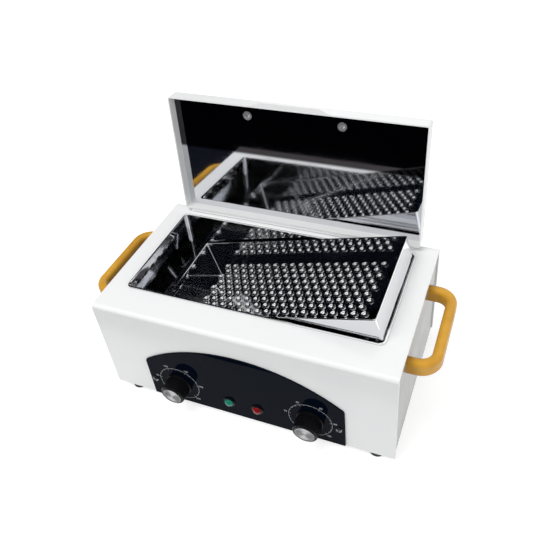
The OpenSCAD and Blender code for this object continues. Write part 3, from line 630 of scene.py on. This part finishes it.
fibre_blanket = plain_part("fibre_blanket", (0.82, 0.80, 0.74), (0.72, 0.70, 0.64), 0.75, bump=0.6)
mica_plate = plain_part("mica_plate", (0.42, 0.35, 0.22), (0.34, 0.28, 0.18), 0.45)
cream_moulding = plain_part("cream_moulding", (0.72, 0.68, 0.58), (0.68, 0.64, 0.54), 0.4)
copper_tube = plain_part("copper_tube", (0.80, 0.47, 0.32), (0.70, 0.39, 0.26), 0.22, metal=1.0)
print("inner parts:", [m.name for m in (fibre_blanket, mica_plate, cream_moulding, copper_tube)])

# %% [markdown]
# The frame's parts that already have the right shape only need their finish. One table says which finish
# each of them has, so a look is changed in one place.

# %% Which finish each part has
FINISHES = {
    "case_shell": white_enamel, "side_panel_left": grey_enamel, "side_panel_right": grey_enamel,
    "base_plate": white_enamel, "case_screws": plated, "control_panel": panel_paint,
    "panel_screws": blackened,
    "chamber": chamber_steel, "chamber_insulation": fibre_blanket, "heating_element": mica_plate,
    "thermal_fuse": plated, "thermostat_body": cream_moulding, "thermostat_bulb": copper_tube,
    "thermostat_shaft": plated, "knob_thermostat": black_plastic, "timer_body": cream_moulding,
    "timer_shaft": plated, "knob_timer": black_plastic, "lamp_green": green_lens, "lamp_red": red_lens,
    "lamp_bezels": black_plastic, "lamp_bodies": black_plastic, "terminal_block": cream_moulding,
    "power_inlet": black_plastic, "inlet_screws": plated, "feet": rubber, "foot_screws": plated,
    "handle_left": amber_plastic, "handle_right": amber_plastic, "handle_screws": plated,
    "lid_shell": white_enamel, "lid_liner": liner_steel, "lid_insulation": fibre_blanket,
    "liner_screws": plated, "hinge_case_leaf": white_enamel, "hinge_lid_leaf": white_enamel,
    "hinge_pin": plated, "hinge_rivets": white_enamel, "tray_floor": tray_steel, "tray_walls": tray_steel,
    "knob_thermostat_cap": plated, "knob_timer_cap": plated,
}
print("parts with a finish:", len(FINISHES), "of", len(nodes))

# %% [markdown]
# Round faces are shaded smooth and true corners stay sharp, told apart by the angle between two faces. Sheet
# edges that catch the light also get a small bevel, because no folded or stamped edge is a perfect knife.

# %% Dress the frame's own parts
SHARP_ANGLE = radians(32)
BEVEL_ANGLE = radians(40)
BEVEL_STEPS = 2


def dress(node, finish):
    part = nodes[node]
    part.data.materials.clear()
    part.data.materials.append(finish)
    for face in part.data.polygons:
        face.use_smooth = True
        face.material_index = 0
    part.data.set_sharp_from_angle(angle=SHARP_ANGLE)


def soften_edges(node, width):
    bevel = nodes[node].modifiers.new("stamped_edge", "BEVEL")
    bevel.width = width
    bevel.segments = BEVEL_STEPS
    bevel.limit_method = "ANGLE"
    bevel.angle_limit = BEVEL_ANGLE
    bevel.harden_normals = True


for node, finish in FINISHES.items():
    dress(node, finish)
SOFT_EDGES = {"control_panel": 0.25, "side_panel_left": 0.3, "side_panel_right": 0.3, "chamber": 0.4,
              "tray_walls": 0.25}
for node, width in SOFT_EDGES.items():
    soften_edges(node, width * mm)
print("dressed:", len(FINISHES), "edges softened on:", list(SOFT_EDGES))

# %% [markdown]
# The next helper makes the pieces that the frame leaves to this lesson. A mesh is made in real units, its
# faces are turned outwards, and it is given a finish and fixed to the body that carries it.

# %% A helper for the lesson's own pieces
def mesh_piece(name, points, faces, finish, body, smooth=True):
    mesh = bpy.data.meshes.new(name)
    mesh.from_pydata([tuple(p) for p in points], [], faces)
    tidy = bmesh.new()
    tidy.from_mesh(mesh)
    bmesh.ops.recalc_face_normals(tidy, faces=tidy.faces)
    tidy.to_mesh(mesh)
    tidy.free()
    for face in mesh.polygons:
        face.use_smooth = smooth
    if smooth:
        mesh.set_sharp_from_angle(angle=SHARP_ANGLE)
    piece = bpy.data.objects.new(name, mesh)
    piece.data.materials.append(finish)
    scene.collection.objects.link(piece)
    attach(piece, body)
    return piece


print("helper ready: mesh_piece")

# %% [markdown]
# What a lathe or a round punch makes has one profile all the way round, so one helper turns a profile about
# an axis. Another joins many small shapes into one list, so that they become one piece.

# %% Turned profiles and joined shapes
def turned(profile, steps, closed=False):
    """Points and faces of a profile of (radius, height) pairs turned about z."""
    points = []
    for i in range(steps):
        a = 2 * pi * i / steps
        points += [Vector((r * cos(a), r * sin(a), h)) for r, h in profile]
    n = len(profile)
    last = n if closed else n - 1
    faces = []
    for i in range(steps):
        j = (i + 1) % steps
        for k in range(last):
            m = (k + 1) % n
            faces.append((i * n + k, j * n + k, j * n + m, i * n + m))
    return points, faces


def joined(batches):
    """One point list and one face list from several."""
    points, faces = [], []
    for some_points, some_faces in batches:
        start = len(points)
        points += some_points
        faces += [tuple(start + v for v in face) for face in some_faces]
    return points, faces


print("helpers ready: turned, joined")

# %% [markdown]
# Round each dial runs a thin printed circle, with graduations inside it and numbers outside. They could be a
# painted image, but lines this thin are sharper as ink-thin raised shapes. They are laid on the panel, so they
# stay put when the knob turns.

# %% Shapes in ink
PANEL_T, INK_T = 1.5, 0.06
ink = plain_part("dial_ink", (0.50, 0.51, 0.52), (0.44, 0.45, 0.46), 0.45, bump=0.02)


def on_panel(x, z, lift=INK_T):
    return from_front(x, -PANEL_T - lift, z)


def flat_ring(cx, cz, inner, outer, steps=96):
    """A printed circle, as thick as the ink."""
    points, faces = [], []
    for i in range(steps):
        a = 2 * pi * i / steps
        for r in (inner, outer):
            for lift in (0.0, INK_T):
                points.append(on_panel(cx + r * cos(a), cz + r * sin(a), lift))
        p, q = 4 * i, 4 * ((i + 1) % steps)
        faces += [(p + 1, q + 1, q + 3, p + 3), (p, q, q + 1, p + 1),
                  (p + 2, p + 3, q + 3, q + 2), (p, p + 2, q + 2, q)]
    return points, faces


def ink_bar(cx, cz, angle, r0, r1, width):
    """A graduation: a short bar that points at the dial's centre."""
    out = Vector((cos(angle), 0, sin(angle)))
    side = Vector((-sin(angle), 0, cos(angle))) * (width / 2)
    points = []
    for lift in (0.0, INK_T):
        for r, s in ((r0, -1), (r1, -1), (r1, 1), (r0, 1)):
            p = out * r + side * s
            points.append(on_panel(cx + p.x, cz + p.z, lift))
    faces = [(0, 1, 2, 3), (4, 5, 6, 7), (0, 1, 5, 4), (1, 2, 6, 5), (2, 3, 7, 6), (3, 0, 4, 7)]
    return points, faces


print("ink, mm thick:", INK_T)

# %% [markdown]
# Each dial's scale runs clockwise over three quarters of a turn, from the lower left to the lower right, and
# every fourth graduation is longer. The left dial reads in degrees, the right one in minutes.

# %% Printed dials
DIAL_X, DIAL_Z = 69.5, 27.0
RING_R, RING_W = 21.5, 0.28
DIAL_START, DIAL_SWEEP = radians(225), radians(-270)
MARKS, MARK_W, MARK_L, LONG_MARK_L, LONG_EVERY = 20, 0.3, 1.0, 2.0, 4


def dial_print(name, cx):
    """The circle and its graduations, which point inwards."""
    batches = [flat_ring(cx, DIAL_Z, RING_R, RING_R + RING_W)]
    for i in range(MARKS + 1):
        a = DIAL_START + DIAL_SWEEP * i / MARKS
        length = MARK_L if i % LONG_EVERY else LONG_MARK_L
        batches.append(ink_bar(cx, DIAL_Z, a, RING_R - length, RING_R, MARK_W))
    points, faces = joined(batches)
    return mesh_piece(name, points, faces, ink, "case", smooth=False)


dial_print("dial_ring_degrees", -DIAL_X)
dial_print("dial_ring_minutes", DIAL_X)
print("dials:", 2, "graduations on each:", MARKS + 1)

# %% [markdown]
# The numbers come from Blender's built-in font. A text object can be made as thick as the ink, turned into a
# mesh and joined with the others, so that each dial's numbers are one piece like any other.

# %% Dial numbers
NUMBER_SIZE, NUMBER_R = 3.4, 24.9


def dial_numbers(name, cx, labels):
    """Upright numbers outside the ring, spread evenly over the dial's sweep."""
    made = []
    for i, label in enumerate(labels):
        a = DIAL_START + DIAL_SWEEP * i / (len(labels) - 1)
        text = bpy.data.curves.new(name, "FONT")
        text.body = label
        text.size = NUMBER_SIZE * mm
        text.align_x = "CENTER"
        text.align_y = "CENTER"
        text.extrude = INK_T * mm / 2
        holder = bpy.data.objects.new(f"{name}_{i}", text)
        scene.collection.objects.link(holder)
        holder.location = on_panel(cx + NUMBER_R * cos(a), DIAL_Z + NUMBER_R * sin(a), INK_T / 2)
        holder.rotation_euler = (pi / 2, 0, 0)
        made.append(holder)
    bpy.context.view_layer.update()
    deps = bpy.context.evaluated_depsgraph_get()
    joined_mesh = bmesh.new()
    for holder in made:
        copy = bpy.data.meshes.new_from_object(holder.evaluated_get(deps))
        copy.transform(holder.matrix_world)
        joined_mesh.from_mesh(copy)
        bpy.data.meshes.remove(copy)
    mesh = bpy.data.meshes.new(name)
    joined_mesh.to_mesh(mesh)
    joined_mesh.free()
    for holder in made:
        bpy.data.objects.remove(holder)
    piece = bpy.data.objects.new(name, mesh)
    piece.data.materials.append(ink)
    scene.collection.objects.link(piece)
    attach(piece, "case")
    return piece


DEGREES = ["0", "50", "100", "150", "200", "250"]
MINUTES = ["0", "20", "40", "60", "80", "100"]
dial_numbers("dial_numbers_degrees", -DIAL_X, DEGREES)
dial_numbers("dial_numbers_minutes", DIAL_X, MINUTES)
print("numbers:", DEGREES, MINUTES)

# %% [markdown]
# The knob's cap is a spun aluminium disc. The lathe leaves fine circles in it, and circles catch light as a
# bright bow tie. Modelling every circle would take too many faces. The shader's anisotropy gives the same
# look, with its direction turned about the piece's own z axis.

# %% Spun aluminium
def spun_aluminium():
    mat, tree, shader = start_finish("spun_aluminium", Metallic=1.0, Base_Color=(0.46, 0.46, 0.47),
                                     Anisotropic=0.96)
    turn = tree.nodes.new("ShaderNodeTangent")
    turn.direction_type = "RADIAL"
    turn.axis = "Z"
    tree.links.new(turn.outputs["Tangent"], shader.inputs["Tangent"])
    vary(tree, shader, "Roughness", 300, 0.38, 0.46)
    return mat


spun = spun_aluminium()
print("caps:", spun.name)

# %% [markdown]
# So that those circles run round the knob, the cap is a piece with its origin on the knob's axis, in place of
# the frame's plain disc. It is turned lying flat, with a few real grooves, and then stood up to face the front.

# %% Spun caps
CAP_HUB, CAP_DISH, CAP_GROOVE = 0.05, 0.4, 0.03
CAP_GROOVES, CAP_STEPS = 9, 96


def cap_profile(r, depth):
    """Radius and height: a rim with soft edges, round a sunk face with fine grooves. All in mm."""
    face = depth - CAP_DISH
    profile = [(CAP_HUB, 0.0), (r - 0.1, 0.0), (r, 0.2), (r, depth - 0.45), (r - 0.35, depth),
               (r - 1.3, depth), (r - 1.75, face)]
    for i in range(1, CAP_GROOVES):
        s = (r - 1.9) * (1 - i / CAP_GROOVES)
        profile.append((s + 0.1, face - (i % 2) * CAP_GROOVE))
    profile.append((CAP_HUB, face))
    return [(a * mm, h * mm) for a, h in profile]


def spun_cap(name, node, cx, body):
    """A spun disc as large as the frame's own one, turned to face the front."""
    low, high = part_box(node)
    profile = cap_profile((high.x - low.x) / 2 / mm, (high.y - low.y) / mm)
    points, faces = turned(profile, CAP_STEPS, closed=True)
    piece = mesh_piece(name, points, faces, spun, body)
    place = Matrix.Translation((cx * mm, high.y, (low.z + high.z) / 2))
    piece.matrix_world = place @ Matrix.Rotation(pi / 2, 4, "X")
    bpy.context.view_layer.update()
    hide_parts(node)
    return piece


spun_cap("thermostat_cap_spun", "knob_thermostat_cap", -DIAL_X, "thermostat_dial")
spun_cap("timer_cap_spun", "knob_timer_cap", DIAL_X, "timer_dial")
print("spun caps:", 2, "grooves on each:", CAP_GROOVES)

# %% [markdown]
# The tray leans: its right end stands on the chamber's rim and its left end on the chamber's floor. The
# same few sizes that prop it in the workshop drawing give its slope here, so what is added to it lies on it.

# %% The tray's slope
TRAY_L, TRAY_B, TRAY_H, TRAY_T = 236.0, 116.0, 25.0, 0.8
TRAY_LIFT, PROP_GAP = 0.9, 0.7
CHAMBER_DEPTH, RIM_T, RIM_REACH = 59.0, 1.2, 2.2
chamber_low, chamber_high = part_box("chamber")
chamber_mid_y = (chamber_low.y + chamber_high.y) / 2
chamber_half = (chamber_high.x - chamber_low.x) / 2 / mm - RIM_REACH
tray_z = case_h - CHAMBER_DEPTH + TRAY_LIFT
tilt_sine = (case_h + RIM_T + PROP_GAP - tray_z) / TRAY_L
tilt_cosine = sqrt(1 - tilt_sine ** 2)
tray_left = chamber_half - PROP_GAP - TRAY_L * tilt_cosine


def on_tray(x, y, z):
    """A point on the propped tray: x from its left end, y from its middle, z from its underside, in mm."""
    return Vector(((tray_left + x * tilt_cosine - z * tilt_sine) * mm, chamber_mid_y + y * mm,
                   case_low.z + (tray_z + x * tilt_sine + z * tilt_cosine) * mm))


print("tray's slope, rise per length:", round(tilt_sine, 4))

# %% [markdown]
# The tray's drain holes are pressed, not drilled: the punch leaves each in a small dimple, and those dimples
# are what sparkles in the photograph. Each is a little turned dish with a hole. Its far side leans towards
# the camera and looks over the black cards at the white room, while its near side stays dark. One loop
# lays the dishes over the holes, in the same staggered rows.

# %% Pressed dimples of the drain holes
DRAIN_PITCH = 10.3
FLOOR_MARGIN_X, FLOOR_MARGIN_Y = 20.0, 9.0
DIMPLE = [(2.45, 0.02), (1.05, -0.1), (1.0, 0.0), (1.8, 0.22), (2.8, 0.7), (3.7, 1.28), (3.92, 1.3),
          (3.97, 0.78)]
DIMPLE_STEPS = 18


def drain_places():
    """The same staggered rows as the tray floor's holes."""
    row_pitch = DRAIN_PITCH * sqrt(3) / 2
    rows = int((TRAY_B - 2 * TRAY_T - 2 * FLOOR_MARGIN_Y) // row_pitch)
    columns = int((TRAY_L - 2 * TRAY_T - 2 * FLOOR_MARGIN_X) // DRAIN_PITCH)
    for j in range(rows + 1):
        for i in range(columns - j % 2 + 1):
            yield (i - columns / 2 + (j % 2) / 2) * DRAIN_PITCH, (j - rows / 2) * row_pitch


def drain_lips():
    """A dish on every hole. DIMPLE gives its radius and its height above the tray's underside, in mm."""
    batches = []
    for cx, cy in drain_places():
        points, faces = turned(DIMPLE, DIMPLE_STEPS, closed=True)
        batches.append(([on_tray(TRAY_L / 2 + cx + p.x, cy + p.y, p.z) for p in points], faces))
    points, faces = joined(batches)
    print("drain lips:", len(batches), "faces:", len(faces))
    return mesh_piece("drain_lips", points, faces, pressed_edge, "tray")


drain_lips()

# %% [markdown]
# Two edges are rolled over into a thin bead: the chamber's rim and the top of the tray's walls. A round
# edge finds a light from any side, so each bead draws a bright line round its sheet. It is a small circle
# carried along a closed loop, here a rectangle with round corners.

# %% A bead along a loop
def round_loop(half_x, half_y, r, steps=6):
    """A rectangle with round corners, as x and y in mm, anticlockwise."""
    path = []
    for quarter, (sx, sy) in enumerate(((1, 1), (-1, 1), (-1, -1), (1, -1))):
        for k in range(steps + 1):
            a = pi / 2 * (quarter + k / steps)
            path.append((sx * (half_x - r) + r * cos(a), sy * (half_y - r) + r * sin(a)))
    return path


def bead(path, r, place, sides=10):
    """A round bead along a closed flat path. place turns x, y and height in mm into a point."""
    points, faces = [], []
    n = len(path)
    for i, (x, y) in enumerate(path):
        (ax, ay), (bx, by) = path[i - 1], path[(i + 1) % n]
        run = sqrt((bx - ax) ** 2 + (by - ay) ** 2)
        out_x, out_y = (by - ay) / run, (ax - bx) / run
        for k in range(sides):
            a = 2 * pi * k / sides
            points.append(place(x + out_x * r * cos(a), y + out_y * r * cos(a), r * sin(a)))
    for i in range(n):
        j = (i + 1) % n
        for k in range(sides):
            m = (k + 1) % sides
            faces.append((i * sides + k, j * sides + k, j * sides + m, i * sides + m))
    return points, faces


print("helpers ready: round_loop, bead")

# %% [markdown]
# The chamber's bead lies level on its rim. The tray's hem leans with the tray, so its points go through the
# tray's slope. Each is sunk a little into its sheet, as a rolled edge grows out of it.

# %% Rolled beads
RIM_BEAD_R, RIM_BEAD_OUT, RIM_BEAD_SINK, RIM_CORNER = 1.1, 1.1, 0.3, 5.2
HEM_R, HEM_IN, HEM_SINK, HEM_CORNER = 0.65, 0.3, 0.35, 2.3


def on_rim(x, y, z):
    return Vector((x * mm, chamber_mid_y + y * mm, case_low.z + (case_h + RIM_T + z - RIM_BEAD_SINK) * mm))


def on_hem(x, y, z):
    return on_tray(TRAY_L / 2 + x, y, TRAY_H + z - HEM_SINK)


rim_x = chamber_half + RIM_BEAD_OUT
rim_y = (chamber_high.y - chamber_low.y) / 2 / mm - RIM_REACH + RIM_BEAD_OUT
rim_points, rim_faces = bead(round_loop(rim_x, rim_y, RIM_CORNER), RIM_BEAD_R, on_rim)
mesh_piece("chamber_rim_bead", rim_points, rim_faces, pressed_edge, "case")
hem_loop = round_loop(TRAY_L / 2 - HEM_IN, TRAY_B / 2 - HEM_IN, HEM_CORNER)
hem_points, hem_faces = bead(hem_loop, HEM_R, on_hem)
mesh_piece("tray_wall_hem", hem_points, hem_faces, pressed_edge, "tray")
print("rim bead faces:", len(rim_faces), "tray hem faces:", len(hem_faces))
